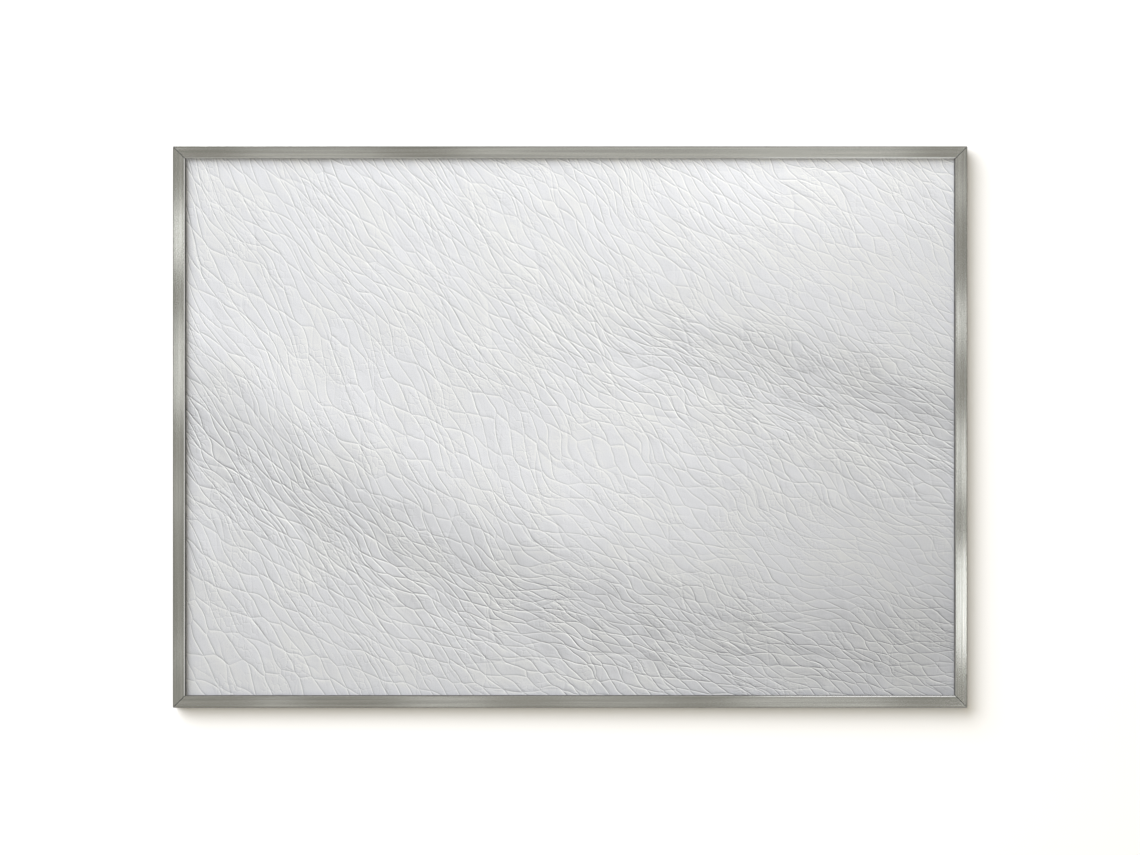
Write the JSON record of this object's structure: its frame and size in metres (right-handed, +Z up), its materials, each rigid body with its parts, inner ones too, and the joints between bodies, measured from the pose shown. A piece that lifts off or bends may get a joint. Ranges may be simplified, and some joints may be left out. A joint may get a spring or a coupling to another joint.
{
  "type": "magnetic glass board",
  "caption": "Magnetic glass board for a wall: a printed glass pane over a steel sheet in a slim mitred aluminium frame, with keyhole hangers that slide along the rear of the top rail.",
  "frame": {"origin": "on the wall plane, behind the middle of the pane", "axes": "+Z up the board, +X along its width to the viewer's right, +Y from the board into the wall; the board faces -Y"},
  "size_m": [1.0228, 0.0238, 0.7228],
  "materials": {
    "satin_aluminium": "brushed along the rail, satin, warm nickel tone",
    "clear_glass": "clear, polished, with ground edges",
    "leather_print": "printed white leather grain",
    "galvanised_steel": "dull zinc surface",
    "brown_hardboard": "pressed wood fibre",
    "black_rubber": "matt",
    "zinc_plated_steel": "bright zinc plating",
    "blued_spring_steel": "blued, satin",
    "black_oxide_steel": "black oxide"
  },
  "bodies": {
    "board": {"frame_rail_top": "satin_aluminium", "frame_rail_right": "satin_aluminium", "frame_rail_bottom": "satin_aluminium", "frame_rail_left": "satin_aluminium", "gasket_top": "black_rubber", "gasket_right": "black_rubber", "gasket_bottom": "black_rubber", "gasket_left": "black_rubber", "glass_pane": "clear_glass", "printed_film": "leather_print", "steel_sheet": "galvanised_steel", "back_panel": "brown_hardboard", "setting_block_left": "black_rubber", "setting_block_right": "black_rubber", "corner_key_top_left": "zinc_plated_steel", "corner_key_top_right": "zinc_plated_steel", "corner_key_bottom_right": "zinc_plated_steel", "corner_key_bottom_left": "zinc_plated_steel", "corner_screw_top_left_wide": "black_oxide_steel", "corner_screw_top_left_tall": "black_oxide_steel", "corner_screw_top_right_wide": "black_oxide_steel", "corner_screw_top_right_tall": "black_oxide_steel", "corner_screw_bottom_right_wide": "black_oxide_steel", "corner_screw_bottom_right_tall": "black_oxide_steel", "corner_screw_bottom_left_wide": "black_oxide_steel", "corner_screw_bottom_left_tall": "black_oxide_steel", "spring_clip_top_1": "blued_spring_steel", "spring_clip_top_2": "blued_spring_steel", "spring_clip_top_3": "blued_spring_steel", "spring_clip_right_1": "blued_spring_steel", "spring_clip_right_2": "blued_spring_steel", "spring_clip_bottom_1": "blued_spring_steel", "spring_clip_bottom_2": "blued_spring_steel", "spring_clip_bottom_3": "blued_spring_steel", "spring_clip_left_1": "blued_spring_steel", "spring_clip_left_2": "blued_spring_steel", "wall_bumper_left": "black_rubber", "wall_bumper_right": "black_rubber"},
    "left_hanger": {"hanger_left": "zinc_plated_steel"},
    "right_hanger": {"hanger_right": "zinc_plated_steel"},
    "left_lock_screw": {"hanger_lock_screw_left": "black_oxide_steel"},
    "right_lock_screw": {"hanger_lock_screw_right": "black_oxide_steel"}
  },
  "joints": [
    {"name": "left_hanger_slide", "type": "slide", "parent": "board", "child": "left_hanger", "axis": [1, 0, 0], "range_m": [-0.147, 0.28]},
    {"name": "right_hanger_slide", "type": "slide", "parent": "board", "child": "right_hanger", "axis": [1, 0, 0], "range_m": [-0.28, 0.147]},
    {"name": "left_lock_screw_turn", "type": "hinge", "parent": "left_hanger", "child": "left_lock_screw", "pos_m": [-0.3, -0.0041, 0.3567], "axis": [0, 1, 0], "range_deg": [0, 540]},
    {"name": "right_lock_screw_turn", "type": "hinge", "parent": "right_hanger", "child": "right_lock_screw", "pos_m": [0.3, -0.0041, 0.3567], "axis": [0, 1, 0], "range_deg": [0, 540]}
  ]
}
